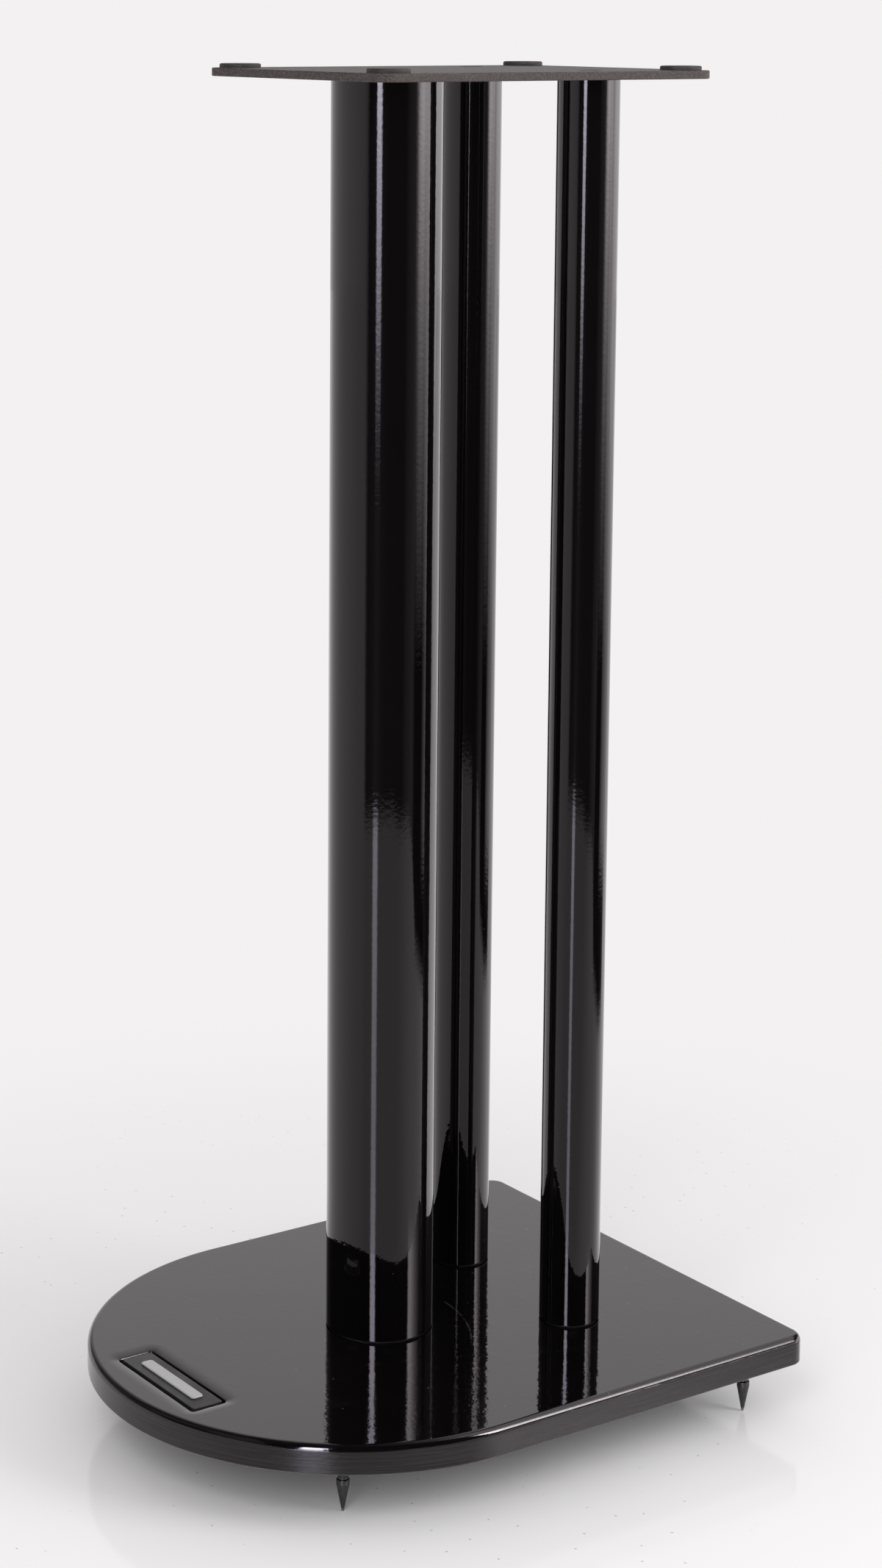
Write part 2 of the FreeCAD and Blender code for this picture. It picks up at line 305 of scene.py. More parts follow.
# ---- Top plate ----------------------------------------------------------------------
def plate_grids():
    """The flat top plate: its rim is a section carried round the plate. The rest is cut
    by straight lines from the plate's middle to its right, rear and left sides into three
    cells with a bolt hole each. A cell's rings run from its edge in to the countersink,
    down it and back out along the underside."""
    arc, side = 12, 60
    points, ways = outline(plate_half_width, plate_half_length, plate_y, plate_corner,
                           plate_corner, arc_steps=arc, side_steps=side)
    rim = 0.8
    line = section([(-rim, column_head_z, 0), (0, column_head_z, 0.5),
                    (0, plate_top_z, 0.5), (-rim, plate_top_z, 0)], steps=5, guard=0.1)
    grids = [carried(points, ways, line)]
    edge = points - rim * ways
    right, rear, left = (k * arc + (k - 1) * side + side // 2 for k in (2, 3, 4))
    middle = np.array([0.0, plate_y])
    run = np.linspace(0, 1, 37)[:, None]

    def straight(start, end):
        return (start + run * (end - start))[1:]

    cells = {
        "front": [np.roll(edge, -left, 0)[:len(edge) - left + right + 1],
                  straight(edge[right], middle), straight(middle, edge[left])[:-1]],
        "rear_right": [edge[right:rear + 1], straight(edge[rear], middle),
                       straight(middle, edge[right])[:-1]],
        "rear_left": [edge[rear:left + 1], straight(edge[left], middle),
                      straight(middle, edge[rear])[:-1]],
    }
    bore = [(6.4, 0.0), (5.95, 0.0), (5.9, -0.05), (5.9, -0.2), (3.3, -3.0), (3.2, -3.1),
            (3.2, -3.7), (3.3, -3.8), (3.8, -3.8)]
    for place, parts in cells.items():
        loop = closed(np.concatenate(parts))
        axis = np.array(columns[place][:2])
        way = loop - axis
        way = way / np.hypot(*way.T)[:, None]
        rows = [np.column_stack([loop, np.full(len(loop), plate_top_z)])]
        rows += [np.column_stack([axis + out * way, np.full(len(loop), plate_top_z + drop)])
                 for out, drop in bore]
        rows += [np.column_stack([loop, np.full(len(loop), column_head_z)])]
        grids.append(np.stack(rows))
    return grids


# ---- Columns, gaskets and pads ------------------------------------------------------
def tube_grids(x, y, radius):
    """A drawn tube: a ring-shaped section with small broken edges, turned about its axis."""
    bore = radius - column_wall
    middle = (column_foot_z + column_head_z) / 2
    line = section([(bore, middle, 0), (bore, column_foot_z, 0.2), (radius, column_foot_z, 0.3),
                    (radius, column_head_z, 0.3), (bore, column_head_z, 0.2),
                    (bore, middle, 0)], steps=4)
    return [turned(line, x, y, 192)]


def gasket_grids(x, y, radius):
    """A thin rubber ring, pressed out a little at its outer edge."""
    outer = radius - 1.0
    middle = (tray_top_z + column_foot_z) / 2
    line = section([(clearance_bore, middle, 0), (clearance_bore, tray_top_z, 0.05),
                    (outer, tray_top_z, 0.3), (outer, column_foot_z, 0.3),
                    (clearance_bore, column_foot_z, 0.05), (clearance_bore, middle, 0)],
                   guard=0.02)
    return [turned(line, x, y, 96)]


def pad_grids(x, y):
    """A round rubber pad: a rounded rim and a face that dips a little in its middle."""
    top = plate_top_z + pad_thickness
    line = section([(0, plate_top_z, 0), (pad_radius - 0.05, plate_top_z, 0.12),
                    (pad_radius, top, 0.85), (8.0, top - 0.01, 0), (4.0, top - 0.08, 0),
                    (0, top - 0.1, 0)], steps=8)
    return [turned(line, x, y, 96)]


# ---- Fasteners ----------------------------------------------------------------------
def bolt_head_grids(x, y):
    """A hexagon-headed bolt: each ring is the hexagon or, where that is less, the ring's
    own circle, which gives the head its turned chamfer."""
    low, high, end = 29.1, washer_under_z, 48.8
    rows = [(0, low), (5.4, low), (6.1, low + 0.02), (6.6, low + 0.25), (7.1, low + 0.5),
            (7.6, low + 0.8), (7.6, high - 0.35), (6.3, high - 0.3), (6.2, high),
            (4.05, high), (4.0, high + 0.1), (4.0, end - 0.8), (3.2, end), (0, end)]
    rows, angle = np.array(rows), full_turn(192)
    return [rings(np.minimum(rows[:, :1], hexagon(angle, 13.0)), rows[:, 1:], angle, x, y)]


def socket_bolt_grids(x, y):
    """A countersunk bolt: its head's cone is turned, and its key socket is a hexagon cut
    down into the face. A row marked as socket takes the hexagon's distance out."""
    socket = -1.0
    face, foot = top_bolt_face_z, 620.3
    rows = [(0, foot), (2.4, foot), (3.0, foot + 0.6), (3.0, face - 2.9), (5.65, face - 0.12),
            (5.68, face - 0.05), (5.6, face), (2.75, face), (2.6, face - 0.1),
            (socket, face - 0.3), (socket, face - 1.8), (0, face - 2.1)]
    rows, angle = np.array(rows), full_turn(192)
    out = np.where(rows[:, :1] == socket, hexagon(angle, 4.0), rows[:, :1] + 0 * angle)
    return [rings(out, rows[:, 1:], angle, x, y)]


def washer_grids(x, y):
    """A stamped washer: one rim rounded by the punch and the other sharp."""
    bore, rim, low, high = clearance_bore, 10.0, washer_under_z, stiffener_under_z
    middle = (low + high) / 2
    line = section([(bore, middle, 0), (bore, low, 0.1), (rim, low, 0.35), (rim, high, 0.1),
                    (bore, high, 0.1), (bore, middle, 0)], steps=4, guard=0.05)
    return [turned(line, x, y, 96)]


def nut_grids(x, y):
    """A lock nut: rings that are the hexagon or the chamfer's circle, whichever is less,
    round a bore with a turned lead-in at both ends."""
    low, high, bore = lock_nut_foot_z, boss_foot_z, spike_bore
    middle = (low + high) / 2
    rows = [(bore, middle), (bore, low + 0.4), (3.35, low), (4.75, low), (5.0, low + 0.06),
            (5.3, low + 0.22), (5.77, low + 0.5), (5.77, high - 0.5), (5.3, high - 0.22),
            (5.0, high - 0.06), (4.75, high), (3.35, high), (bore, high - 0.4), (bore, middle)]
    rows, angle = np.array(rows), full_turn(192)
    return [rings(np.minimum(rows[:, :1], hexagon(angle, 10.0)), rows[:, 1:], angle, x, y)]


def spike_grids(x, y):
    """A levelling spike: a cone, a short plain part, a neck and a thread. The thread's
    distance out is a zigzag of the level less the turns made, as its pitch is one
    millimetre, and it fades in over its first turn and out over its last."""
    root, start, stop = thread_root, 17.0, thread_head_z
    foot = section([(0, 0, 0), (0.5, 0.0, 0.12), (3.0, 13.0, 0.25), (3.0, 15.2, 0.2),
                    (root, 15.5, 0.15), (root, start, 0)], steps=4, guard=0.05)
    angle = np.linspace(0, 2 * np.pi, 49)
    level = np.arange(start + 0.05, stop, 0.1)[:, None]
    turn = level - angle / (2 * np.pi)
    zigzag = np.abs((turn % 1.0) - 0.5) * 2
    fade = np.clip(level - start, 0, 1) * np.clip((stop - level) / 0.8, 0, 1)
    out = root + (0.02 + 0.6 * np.clip(1.25 * zigzag - 0.1, 0, 1)) * fade
    thread = rings(out, level, full_turn(48), x, y)
    end = turned(np.array([(root, stop + 0.1), (1.9, 35.0), (0, 35.0)]), x, y, 48)
    return [np.concatenate([turned(foot, x, y, 48), thread, end])]


def boss_grids(x, y):
    """A tapped boss with its weld: the section of a bead fills the corner between the boss
    and the tray. Its distance out is stretched by a squared sine of 22 times the angle."""
    bore, low, high = spike_bore, boss_foot_z, tray_under_z
    middle = (low + high) / 2
    line = section([(bore, middle, 0), (bore, low, 0.3), (boss_radius, low, 0.5),
                    (boss_radius, 37.4, 0.3), (8.7, 38.6, 0.9), (8.9, high, 0),
                    (bore, high, 0.1), (bore, middle, 0)], steps=5, guard=0.1)
    out, level = line[:, :1], line[:, 1:]
    bead = np.clip((level - 37.2) / 0.8, 0, 1) * np.clip(out - 6.5, 0, 1)
    angle = full_turn(144)
    ripple = 1 + 0.035 * bead * np.sin(22 * angle) ** 2
    return [rings(out * ripple, level, angle, x, y)]


# ---- Finishes -----------------------------------------------------------------------
def line_through(mapping, pairs):
    """Set a curve to straight lines between (position, level) pairs, scaled so that the
    highest level is 1, and return that level."""
    top = max(level for _, level in pairs)
    line = mapping.curves[0]
    mapping.use_clip = False
    for k, (at, level) in enumerate(pairs):
        if k < 2:
            line.points[k].location = (at, level / top)
        else:
            line.points.new(at, level / top)
    for point in line.points:
        point.handle_type = "VECTOR"
    mapping.update()
    return top


class Layup:
    """A node tree being laid up: its nodes, the links between them and sums on the way."""

    def __init__(self, tree):
        self.tree = tree
        tree.nodes.clear()

    def feed(self, socket, value):
        """A socket takes a link or a fixed number."""
        if hasattr(value, "links"):
            self.tree.links.new(value, socket)
        else:
            socket.default_value = value

    def node(self, kind, *values, **settings):
        """One node, set up, whose first sockets take these links or fixed numbers."""
        made = self.tree.nodes.new("ShaderNode" + kind)
        for setting, choice in settings.items():
            setattr(made, setting, choice)
        for socket, value in zip(made.inputs, values):
            self.feed(socket, value)
        return made

    def made(self, kind, *values, **settings):
        """The first output of one node."""
        return self.node(kind, *values, **settings).outputs[0]

    def sum(self, how, a, b=0.0, c=0.0):
        """One sum of up to three numbers."""
        return self.made("Math", a, b, c, operation=how)

    def axes(self, at):
        """A place's three coordinates."""
        return self.node("SeparateXYZ", at).outputs

    def ease(self, value, start, end, low=0.0, high=1.0):
        """From low to high as the value goes from start to end, smoothly."""
        return self.made("MapRange", value, start, end, low, high,
                         interpolation_type="SMOOTHSTEP")

    def curve(self, value, *pairs):
        """Straight lines between (position, level) pairs."""
        node = self.node("FloatCurve")
        top = line_through(node.mapping, pairs)
        self.feed(node.inputs["Value"], value)
        return self.sum("MULTIPLY", node.outputs[0], top)

    def compass(self, x, y):
        """The compass direction of a place, as a share of a full turn: the arc tangent of
        x over -y. It is 0 towards -Y and a quarter towards +X."""
        angle = self.sum("ARCTAN2", x, self.sum("MULTIPLY", y, -1.0))
        return self.sum("FRACT", self.sum("ADD", self.sum("DIVIDE", angle, 2 * math.pi), 1.0))

    def by_compass(self, turn, *pairs):
        """Straight lines between (degrees, level) pairs."""
        return self.curve(turn, *[(degrees / 360, level) for degrees, level in pairs])


class Finish(Layup):
    """A material being laid up: a node tree with one shader, in the object's coordinates."""

    def __init__(self, name):
        self.material = bpy.data.materials.new(name)
        self.material.use_nodes = True
        super().__init__(self.material.node_tree)
        self.shader = self.node("BsdfPrincipled")
        self.surface = self.node("OutputMaterial", self.shader.outputs[0])
        self.place = self.node("TexCoord").outputs["Object"]

    def noise(self, scale, detail=3.0, rough=0.5, at=None):
        """Soft unevenness from 0 to 1, in lumps about 1 / scale metres across."""
        node = self.node("TexNoise")
        for key, value in (("Vector", at or self.place), ("Scale", scale),
                           ("Detail", detail), ("Roughness", rough)):
            self.feed(node.inputs[key], value)
        return node.outputs["Fac"]

    def cells(self, scale, flat=False):
        """Scattered points: the distance from the nearest, in 1 / scale metres. Flat ones
        are set out on the level plane."""
        node = self.node("TexVoronoi", voronoi_dimensions="2D" if flat else "3D")
        self.feed(node.inputs["Vector"], self.place)
        node.inputs["Scale"].default_value = scale
        return node.outputs["Distance"]

    def stretched(self, scale, turn=(0, 0, 0)):
        """The object's coordinates, turned and stretched."""
        node = self.node("Mapping", self.place)
        node.inputs["Rotation"].default_value = turn
        node.inputs["Scale"].default_value = scale
        return node.outputs[0]

    def mix(self, factor, a, b):
        """From colour a to colour b as the factor goes from 0 to 1."""
        node = self.node("Mix", data_type="RGBA")
        self.feed(node.inputs[0], factor)
        self.feed(node.inputs[6], (*a, 1) if isinstance(a, tuple) else a)
        self.feed(node.inputs[7], (*b, 1) if isinstance(b, tuple) else b)
        return node.outputs[2]

    def colour(self, value):
        self.feed(self.shader.inputs["Base Color"], value)

    def rough(self, value):
        self.feed(self.shader.inputs["Roughness"], value)

    def lacquered(self):
        """The mirror of a clear lacquer: its refractive index and its faint rosy tint."""
        self.shader.inputs["IOR"].default_value = 1.5
        self.shader.inputs["Specular Tint"].default_value = (1.0, 0.92, 0.945, 1)

    def relief(self, height, depth, under=None):
        """Fine relief: a height from 0 to 1 stands for this depth in metres."""
        node = self.node("Bump")
        node.inputs["Strength"].default_value = 1.0
        node.inputs["Distance"].default_value = depth
        self.feed(node.inputs["Height"], height)
        if under is not None:
            self.feed(node.inputs["Normal"], under)
        self.feed(self.shader.inputs["Normal"], node.outputs[0])
        return node.outputs[0]

    def peel(self, fine, broad, share, depth):
        """Orange peel: fine noise plus a share of broad noise."""
        height = self.sum("MULTIPLY", self.noise(broad, 1.0, 0.4), share)
        return self.relief(self.sum("ADD", self.noise(fine, 1.0, 0.5), height), depth)


def gloss_black_lacquer():
    """Deep gloss black: orange peel a few millimetres across, faint cloudy smears and
    scattered dust."""
    f = Finish("gloss_black_lacquer")
    smear = f.noise(14.0, 4.0, 0.6)
    speck = f.ease(f.cells(62.0), 0.018, 0.008)
    f.colour(f.mix(speck, f.mix(smear, (0.0016, 0.0013, 0.0014), (0.0030, 0.0025, 0.0026)),
                   (0.10, 0.10, 0.10)))
    f.rough(f.sum("ADD", f.ease(smear, 0.35, 0.75, 0.028, 0.055), f.sum("MULTIPLY", speck, 0.3)))
    f.lacquered()
    f.peel(520.0, 210.0, 0.4, 0.000015)
    return f.material


def pressed_tray_lacquer():
    """The tray: the same gloss black on top, going over to a streaked satin on the skirt at an
    uneven line that is higher towards -X, with a paler band along the bottom edge. One faint
    curved scratch on the top is a part of a circle 80 mm in radius."""
    f = Finish("pressed_tray_lacquer")
    x, y, z = f.axes(f.place)
    wander = f.noise(45.0, 3.0, 0.5)
    rubbed = f.ease(x, 0.084, 0.066, 0.0, 0.0021)
    line = f.sum("ADD", z, f.sum("MULTIPLY", wander, 0.0016))
    skirt = f.ease(f.sum("SUBTRACT", line, rubbed), 0.0396, 0.0390)
    streak = f.noise(1.0, 4.0, 0.65, f.stretched((26, 26, 1500)))
    broad = f.noise(1.0, 3.0, 0.5, f.stretched((9, 9, 420)))
    smear = f.noise(11.0, 5.0, 0.62)
    speck = f.sum("MULTIPLY", f.ease(f.cells(30.0, flat=True), 0.011, 0.006),
                  f.ease(smear, 0.42, 0.6))
    top = f.mix(speck, f.mix(smear, (0.0016, 0.0014, 0.0015), (0.0034, 0.0028, 0.0030)),
                (0.16, 0.155, 0.15))
    side = f.mix(f.ease(streak, 0.40, 0.62), (0.0022, 0.0020, 0.0021), (0.0125, 0.0115, 0.0120))
    # a paler band along the skirt's bottom edge, from the bottom up to about 28 mm, broken up by
    # broad noise
    pale_bottom_band = f.sum("MULTIPLY", f.ease(z, 0.0281, 0.0277), f.ease(broad, 0.35, 0.6))
    across, along = f.sum("ADD", x, 0.007), f.sum("ADD", y, 0.050)
    out = f.sum("SQRT", f.sum("MULTIPLY_ADD", across, across, f.sum("MULTIPLY", along, along)))
    scratch = f.ease(f.sum("ABSOLUTE", f.sum("SUBTRACT", out, 0.080)), 0.0005, 0.0001)
    for part in (f.ease(across, -0.006, 0.010), f.ease(across, 0.054, 0.040),
                 f.ease(along, 0.0, 0.01), f.ease(f.noise(320.0), 0.40, 0.60)):
        scratch = f.sum("MULTIPLY", scratch, part)
    top = f.mix(scratch, top, (0.050, 0.045, 0.047))
    f.colour(f.mix(pale_bottom_band, f.mix(skirt, top, side), (0.10, 0.095, 0.09)))
    shine = f.ease(smear, 0.3, 0.75, 0.028, 0.07)
    satin = f.sum("ADD", f.ease(streak, 0.38, 0.62, 0.055, 0.14), f.sum("MULTIPLY", broad, 0.06))
    blend = f.node("Mix")
    for k, value in ((0, skirt), (2, shine), (3, satin)):
        f.feed(blend.inputs[k], value)
    f.rough(blend.outputs[0])
    f.lacquered()
    fine = f.peel(430.0, 120.0, 0.6, 0.000024)
    f.relief(f.sum("MULTIPLY", streak, skirt), 0.000085, fine)
    return f.material


def grained_powder_coat():
    """The top plate: a fine pebbled powder coat that glints grain by grain."""
    f = Finish("grained_powder_coat")
    grain = f.noise(1500.0, 3.0, 0.6)
    pebble = f.noise(620.0, 2.0, 0.5)
    cloud = f.noise(30.0, 3.0, 0.5)
    f.colour(f.mix(f.ease(grain, 0.35, 0.7), f.mix(cloud, (0.034, 0.0285, 0.0275),
             (0.038, 0.0320, 0.0305)), (0.090, 0.0765, 0.0740)))
    f.rough(f.ease(grain, 0.3, 0.7, 0.66, 0.42))
    f.shader.inputs["Specular IOR Level"].default_value = 0.18
    f.shader.inputs["Specular Tint"].default_value = (1.0, 0.92, 0.90, 1)
    f.relief(f.sum("ADD", grain, pebble), 0.00006)
    return f.material


def black_rubber():
    """Moulded rubber with a dull bloom and a fine matt grain."""
    f = Finish("black_rubber")
    bloom = f.noise(120.0, 4.0, 0.6)
    grain = f.noise(2400.0, 2.0, 0.5)
    f.colour(f.mix(bloom, (0.020, 0.0155, 0.0145), (0.034, 0.027, 0.025)))
    f.rough(f.ease(grain, 0.3, 0.7, 0.50, 0.72))
    f.relief(grain, 0.00002)
    return f.material


def blackened_steel():
    """Chemically blackened steel: turned rings, a brownish bloom and worn bright edges
    near the tip."""
    f = Finish("blackened_steel")
    z = f.axes(f.place)[2]
    turning = f.noise(1.0, 2.0, 0.5, f.stretched((60, 60, 5200)))
    bloom = f.noise(260.0, 4.0, 0.6)
    worn = f.sum("MULTIPLY", f.ease(z, 0.0022, 0.0004), f.ease(bloom, 0.30, 0.62))
    dark = f.mix(bloom, (0.050, 0.050, 0.051), (0.105, 0.104, 0.104))
    f.colour(f.mix(worn, dark, (0.42, 0.40, 0.37)))
    f.shader.inputs["Metallic"].default_value = 1.0
    f.rough(f.ease(turning, 0.3, 0.7, 0.26, 0.40))
    f.relief(turning, 0.000010)
    return f.material


def bright_zinc():
    """Zinc-plated steel with a faint bluish spangle."""
    f = Finish("bright_zinc")
    stain = f.noise(90.0, 4.0, 0.6)
    f.colour(f.mix(stain, (0.52, 0.54, 0.56), (0.66, 0.67, 0.66)))
    f.shader.inputs["Metallic"].default_value = 1.0
    f.rough(f.ease(f.cells(900.0), 0.1, 0.8, 0.24, 0.38))
    f.relief(f.noise(1600.0, 2.0, 0.5), 0.000004)
    return f.material


def plain_turned_steel():
    """Bare turned steel, lightly oiled."""
    f = Finish("plain_turned_steel")
    ring = f.noise(1.0, 2.0, 0.5, f.stretched((900, 900, 900)))
    oil = f.noise(60.0, 4.0, 0.6)
    f.colour(f.mix(oil, (0.30, 0.29, 0.27), (0.44, 0.43, 0.41)))
    f.shader.inputs["Metallic"].default_value = 1.0
    f.rough(f.ease(ring, 0.3, 0.7, 0.32, 0.46))
    f.relief(ring, 0.000004)
    return f.material


def satin_black_paint():
    """Sprayed satin black on the parts under the tray, with thin overspray."""
    f = Finish("satin_black_paint")
    spray = f.noise(700.0, 3.0, 0.6)
    cloud = f.noise(25.0, 4.0, 0.6)
    f.colour(f.mix(cloud, (0.012, 0.011, 0.011), (0.024, 0.022, 0.022)))
    f.rough(f.ease(spray, 0.3, 0.7, 0.34, 0.52))
    f.relief(spray, 0.000012)
    return f.material


def badge_plate_satin():
    """The badge: dark grey satin, brushed across its length."""
    f = Finish("badge_plate_satin")
    brushed = f.noise(1.0, 3.0, 0.6, f.stretched((40, 4200, 900)))
    cloud = f.noise(60.0, 3.0, 0.5)
    f.colour(f.mix(brushed, (0.012, 0.011, 0.011), (0.020, 0.018, 0.018)))
    f.rough(f.ease(cloud, 0.3, 0.7, 0.34, 0.46))
    f.shader.inputs["Specular IOR Level"].default_value = 0.28
    f.relief(brushed, 0.000003)
    return f.material


def badge_bar_satin():
    """The raised bar: light grey satin enamel."""
    f = Finish("badge_bar_satin")
    cloud = f.noise(140.0, 4.0, 0.6)
    f.colour(f.mix(cloud, (0.33, 0.325, 0.325), (0.42, 0.415, 0.41)))
    f.rough(f.ease(cloud, 0.3, 0.7, 0.30, 0.45))
    f.relief(f.noise(1800.0, 2.0, 0.5), 0.000004)
    return f.material


lacquer = gloss_black_lacquer()
tray_lacquer = pressed_tray_lacquer()
powder_coat = grained_powder_coat()
rubber = black_rubber()
blackened = blackened_steel()
zinc = bright_zinc()
turned_steel = plain_turned_steel()
satin_black = satin_black_paint()
badge_satin = badge_plate_satin()
bar_satin = badge_bar_satin()

# ---- The stand ----------------------------------------------------------------------
piece("pressed_base_tray", tray_grids(), tray_lacquer, "stand", ["base_shell"], 30)
piece("flat_top_plate", plate_grids(), powder_coat, "stand", ["top_plate"], 30)
piece("stiffening_plate", [slab(68.4, 63.8, 29.5, 12.0, stiffener_under_z,
                                tray_under_z, 0.4)], satin_black,
      "stand", ["base_stiffener"])
piece("badge_backplate", [slab(31.5, 7.7, pocket_y, 0.8, 38.0, badge_face_z, 0.3)],
      badge_satin, "stand", ["badge_plate"])
piece("badge_raised_bar", [slab(23.0, 3.0, pocket_y, 1.5, badge_face_z, 41.3, 0.35)],
      bar_satin, "stand", ["badge_bar"])

for place, (x, y, radius) in columns.items():
    piece(place + "_tube", tube_grids(x, y, radius), lacquer, "stand",
          [place + "_column"])
    piece(place + "_foot_ring", gasket_grids(x, y, radius), rubber, "stand",
          [place + "_foot_gasket"])
    piece(place + "_hexagon_bolt", bolt_head_grids(x, y), zinc, "stand",
          [place + "_base_bolt"], 25)
    piece(place + "_flat_washer", washer_grids(x, y), zinc, "stand",
          [place + "_washer"])
    piece(place + "_socket_bolt", socket_bolt_grids(x, y), blackened, "stand",
          [place + "_top_bolt"], 25)
    for end in ("foot_plug", "head_plug"):
        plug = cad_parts[place + "_" + end]
        for held in plug.material_slots:
            held.material = turned_steel

for place, (x, y) in pads.items():
    piece(place + "_rubber_pad", pad_grids(x, y), rubber, "stand",
          [place + "_pad"])

for place, (x, y) in spikes.items():
    piece(place + "_welded_boss", boss_grids(x, y), satin_black, "stand",
          [place + "_spike_boss"])
    piece(place + "_hexagon_lock_nut", nut_grids(x, y), blackened, place + "_lock_nut",
          [place + "_lock_nut"], 25)
    piece(place + "_levelling_spike", spike_grids(x, y), blackened, place + "_spike",
          [place + "_spike"], 50)


# ---- Studio -------------------------------------------------------------------------
# the photograph's camera: its place in metres, how it is turned from the front, dipped and
# rolled, and in pixels its focal length, its frame and the point its axis goes through
view_turn = math.radians(55.80922)
view_dip = math.radians(8.93964)
view_roll = math.radians(-0.28073)
camera_place = (1.18299, -0.83362, 0.66012)
focal_length = 4341.52
frame_width, frame_height = 1200, 2133
axis_right, axis_down = 474.97, 691.01
backdrop_tone = (0.896, 0.880, 0.888, 1)
floor_index = 1.27


def studio_floor():
    """A pale floor, a flat sheet at z = 0. Far from the stand the camera sees it in the backdrop's
    own colour. Gloss sees it glowing with a painted light whose brightness depends on the compass
    direction, as a faint mirror too between 24 and 76 degrees, and on the camera's side it ends
    some way off. Near the stand gloss sees it in a painted shade, a darker grey towards the
    camera's side."""
    f = Finish("pale_floor")
    x, y, z = f.axes(f.place)
    scuff = f.noise(9.0, 5.0, 0.6)
    hair = f.noise(1.0, 2.0, 0.5, f.stretched((40, 900, 1), turn=(0, 0, 0.7)))
    grit = f.sum("MULTIPLY", f.ease(f.cells(46.0, flat=True), 0.034, 0.018),
                 f.ease(scuff, 0.46, 0.58))
    path = f.node("LightPath").outputs
    glossy, seen = path["Is Glossy Ray"], path["Is Camera Ray"]
    away = f.sum("SQRT", f.sum("ADD", f.sum("MULTIPLY", x, x), f.sum("MULTIPLY", y, y)))
    turn = f.compass(x, y)
    reach = f.by_compass(turn, (0, 6), (10, 6), (16, 1.14), (75, 1.16), (90, 1.11), (110, 1.12),
                         (118, 1.05), (128, 0.76), (153, 0.64), (172, 0.66), (178, 1.5),
                         (184, 6), (360, 6))
    # painted light: as seen in gloss, the floor glows brighter or darker by compass direction, a
    # painted reflection of the lit room and floor
    gloss_painted_glow = f.by_compass(turn, (0, 0.76), (10, 0.74), (22, 0.62), (88, 0.62), (103, 0.8),
                        (116, 0.95), (130, 1.0), (145, 1.1), (160, 1.5), (178, 1.7), (186, 1.6),
                        (196, 1.35), (207, 1.38), (216, 1.15), (224, 1.05), (262, 1.35),
                        (270, 1.3), (282, 1.12), (294, 1.0), (310, 0.9), (330, 0.9),
                        (345, 0.84), (360, 0.76))
    wet = f.by_compass(turn, (0, 0), (24, 0), (30, 1), (66, 1), (76, 0), (360, 0))
    wet = f.sum("MULTIPLY", glossy, wet)
    near = f.sum("ADD", f.sum("MULTIPLY", x, math.sin(view_turn)),
                 f.sum("MULTIPLY", y, -math.cos(view_turn)))
    beyond = f.sum("MULTIPLY", f.ease(f.sum("SUBTRACT", away, reach), -0.04, 0.10), glossy)
    # painted shade: gloss sees the floor near the stand painted a darker grey towards the camera's
    # side, standing in for the shadowed floor that the skirt reflects
    gloss_painted_shade = f.sum("MULTIPLY", f.ease(near, 0.05, 0.30), glossy)
    pale = f.mix(scuff, (0.872, 0.862, 0.868), (0.892, 0.882, 0.888))
    pale = f.mix(f.sum("MULTIPLY", f.ease(hair, 0.72, 0.80), 0.25), pale, (0.80, 0.79, 0.79))
    pale = f.mix(grit, pale, (0.55, 0.54, 0.53))
    f.colour(f.mix(gloss_painted_shade, pale, (0.56, 0.55, 0.555)))
    f.shader.inputs["IOR"].default_value = floor_index
    f.rough(f.ease(scuff, 0.3, 0.7, 0.09, 0.12))
    # painted light: gloss sees the floor glowing at this painted brightness, while the camera sees
    # the plain backdrop colour
    strength = f.sum("MULTIPLY_ADD", f.sum("SUBTRACT", gloss_painted_glow, 1.0), glossy, 1.0)
    mirror = f.made("BsdfGlossy", f.sum("MULTIPLY", f.made("Fresnel", floor_index), wet), 0.10)
    backdrop = f.made("AddShader", f.made("Emission", backdrop_tone, strength), mirror)
    share = f.sum("MAXIMUM", f.sum("MULTIPLY", f.ease(away, 0.22, 0.60), seen),
                  f.sum("MULTIPLY", f.ease(away, 0.16, 0.30), glossy))
    far = f.made("MixShader", share, f.shader.outputs[0], backdrop)
    ended = f.made("MixShader", beyond, far, f.made("BsdfTransparent"))
    f.feed(f.surface.inputs["Surface"], ended)
    half = 6
    mesh = bpy.data.meshes.new("floor")
    mesh.from_pydata([(-half, -half, 0), (half, -half, 0), (half, half, 0), (-half, half, 0)],
                     [], [(0, 1, 2, 3)])
    mesh.materials.append(f.material)
    floor = bpy.data.objects.new("floor", mesh)
    bpy.context.scene.collection.objects.link(floor)


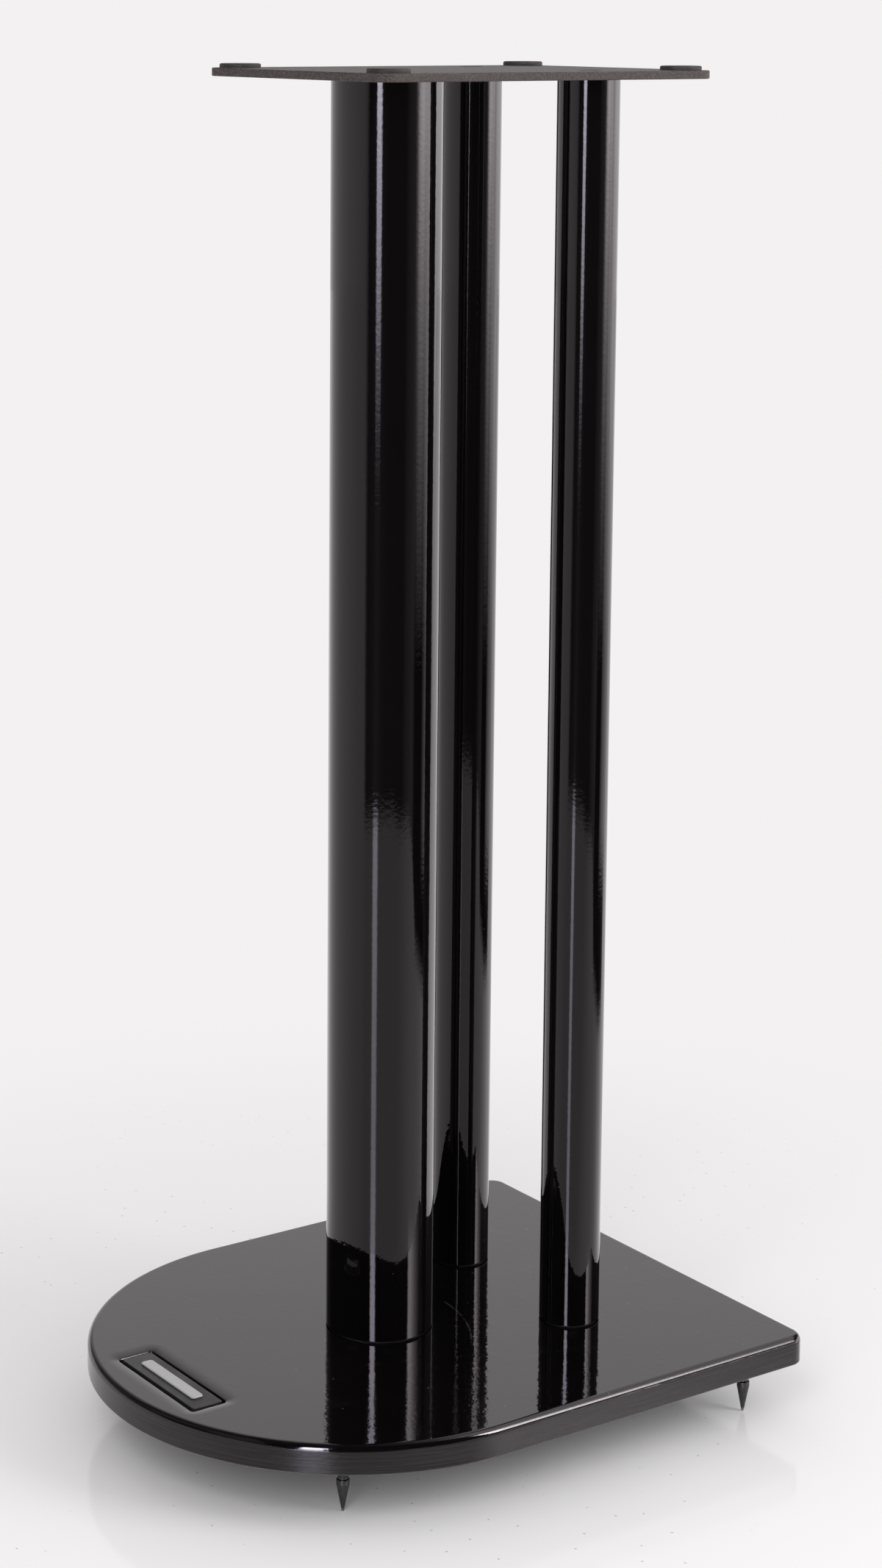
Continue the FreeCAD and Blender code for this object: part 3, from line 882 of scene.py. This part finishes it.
def studio_world():
    """A pale room. Diffuse light comes evenly from all sides. Gloss sees white walls
    behind the stand, a dark room on the camera's side with a narrow light strip to the left
    of the camera, a soft box with a bright top to its right, a pale panel beside that, and
    a light overhead, each by compass direction and height."""
    world = bpy.data.worlds.new("studio")
    world.use_nodes = True
    bpy.context.scene.world = world
    w = Layup(world.node_tree)
    x, y, z = w.axes(w.node("TexCoord").outputs["Generated"])
    turn = w.compass(x, y)
    height = w.sum("MULTIPLY_ADD", z, 0.5, 0.5)

    def light(by_compass, by_height):
        """A brightness: one level by the compass, in degrees, times one by the height, in
        degrees above the level. The height's position is (its sine + 1) / 2."""
        sines = [((math.sin(math.radians(e)) + 1) / 2, level) for e, level in by_height]
        return w.sum("MULTIPLY", w.by_compass(turn, *by_compass), w.curve(height, *sines))

    low_walls = light(
        ((0, 0.75), (10, 0.67), (15, 0.5), (19, 0.1), (22, 0.05), (33, 0.08), (47, 0.08),
         (60, 0.04), (95, 0.03), (102, 0.12), (112, 0.2), (118, 0.25), (124, 0), (150, 0),
         (165, 0.05), (176, 0.3), (184, 0.55), (196, 1.2), (207, 1.5), (213, 1.35),
         (222, 1.05), (236, 0.95), (259, 1.0), (290, 0.86), (321, 0.88), (344, 0.82),
         (360, 0.75)),
        ((-90, 1), (6, 1), (13, 0.07), (90, 0.07)))
    behind = light(
        ((0, 0), (206, 0), (215, 1), (243, 1), (252, 0.75), (258, 0.5), (265, 0.25), (273, 0.1),
         (290, 0), (360, 0)),
        ((-90, 0), (6, 0), (13, 0.95), (50, 0.95), (65, 0.3), (90, 0.1)))
    strip = light(
        ((0, 0), (34, 0), (36.5, 1), (44, 1), (46.5, 0), (360, 0)),
        ((-90, 0.02), (-8.9, 0.05), (-7.8, 0.4), (-6.4, 1.6), (-4.5, 5.2), (-2.5, 7.5),
         (-1.7, 9.4), (0, 12), (17, 15), (20.5, 17), (23, 32), (38, 32), (48, 0.3), (90, 0.1)))
    box = light(
        ((0, 0), (117, 0), (121, 0.25), (127, 1), (134, 1.2), (142, 0.9), (150, 0.5), (157, 0),
         (360, 0)),
        ((-90, 0), (-11.7, 0), (-8.9, 0.6), (-6.4, 1.45), (-4.5, 2.6), (-2.5, 4.2), (-1.7, 5),
         (2, 6), (6, 1), (23, 0.3), (90, 0.05)))
    box_top = light(
        ((0, 0), (117, 0), (120.5, 1), (124, 1), (130, 0.62), (137, 0.27), (144, 0.1), (150, 0),
         (360, 0)),
        ((-90, 0), (17, 0), (22, 18), (30, 26), (42, 24), (47, 0.3), (90, 0.05)))
    overhead = light(
        ((0, 0), (128, 0), (138, 2.2), (148, 1.9), (160, 1.6), (190, 1.3), (208, 1.05), (220, 0),
         (360, 0)),
        ((-90, 0), (38, 0), (46, 1), (62, 1), (72, 0.15), (90, 0.05)))
    beside = light(
        ((0, 0), (142, 0), (149, 0.7), (153, 1), (160, 1.25), (172, 1.3), (184, 0.8),
         (196, 0.15), (207, 0), (360, 0)),
        ((-90, 0), (-15.8, 0), (-14.8, 0.9), (-11.7, 0.75), (-8.9, 1.15), (-6.4, 1.6),
         (-4.5, 1.7), (-2.5, 2.1), (-1.7, 2.25), (15, 2.3), (22, 0.1), (90, 0.1)))
    walls = w.sum("ADD", w.sum("ADD", low_walls, behind), w.sum("ADD", beside, overhead))
    warm = w.sum("ADD", walls, w.sum("ADD", box, box_top))

    path = w.node("LightPath").outputs
    even = w.made("Background", (0.68, 0.672, 0.676, 1), 1.0)
    pale = w.made("Background", backdrop_tone, 1.0)
    gloss = w.made("AddShader", w.made("Background", (1.0, 0.985, 0.99, 1), warm),
                   w.made("Background", (0.95, 0.96, 1.12, 1), strip))
    lit = w.made("MixShader", path["Is Glossy Ray"], even, gloss)
    straight = w.sum("MAXIMUM", path["Is Camera Ray"], path["Is Transmission Ray"])
    w.node("OutputWorld", w.made("MixShader", straight, lit, pale))


def soft_lamp(name, energy, turn, height):
    """A tall soft lamp a metre and a half off in a compass direction, turned to the stand.
    It lights the floor and a little way in under the tray."""
    off = 1.5
    data = bpy.data.lights.new(name, "AREA")
    data.shape = "RECTANGLE"
    data.size, data.size_y = 0.7, 1.2
    data.energy = energy
    lamp = bpy.data.objects.new(name, data)
    lamp.visible_glossy = False
    bpy.context.scene.collection.objects.link(lamp)
    turn = math.radians(turn)
    lamp.location = (off * math.sin(turn), -off * math.cos(turn), height)
    lamp.rotation_euler = (math.pi / 2 - math.atan2(height, off), 0, turn)


def camera():
    """The photograph's viewpoint: turned about the upright axis, dipped, rolled a little,
    and shifted so that the frame sits low and to the right of the lens's axis."""
    ahead = np.array([-math.sin(view_turn) * math.cos(view_dip),
                      math.cos(view_turn) * math.cos(view_dip), -math.sin(view_dip)])
    right = np.array([math.cos(view_turn), math.sin(view_turn), 0])
    down = np.cross(ahead, right)
    turned_right = math.cos(view_roll) * right + math.sin(view_roll) * down
    turned_down = math.cos(view_roll) * down - math.sin(view_roll) * right
    data = bpy.data.cameras.new("camera")
    data.sensor_width = 36.0
    data.lens = data.sensor_width * focal_length / frame_height
    data.shift_x = (frame_width / 2 - axis_right) / frame_height
    data.shift_y = (axis_down - frame_height / 2) / frame_height
    data.clip_start, data.clip_end = 0.05, 50
    made = bpy.data.objects.new("camera", data)
    bpy.context.scene.collection.objects.link(made)
    sides = np.stack([turned_right, -turned_down, -ahead, camera_place], 1)
    made.matrix_world = Matrix([*sides.tolist(), [0, 0, 0, 1]])
    bpy.context.scene.camera = made


studio_floor()
studio_world()
soft_lamp("left_softbox", 11.0, 40, 1.1)
soft_lamp("right_softbox", 14.0, 127, 0.6)
camera()
bpy.context.scene.view_settings.view_transform = "Standard"
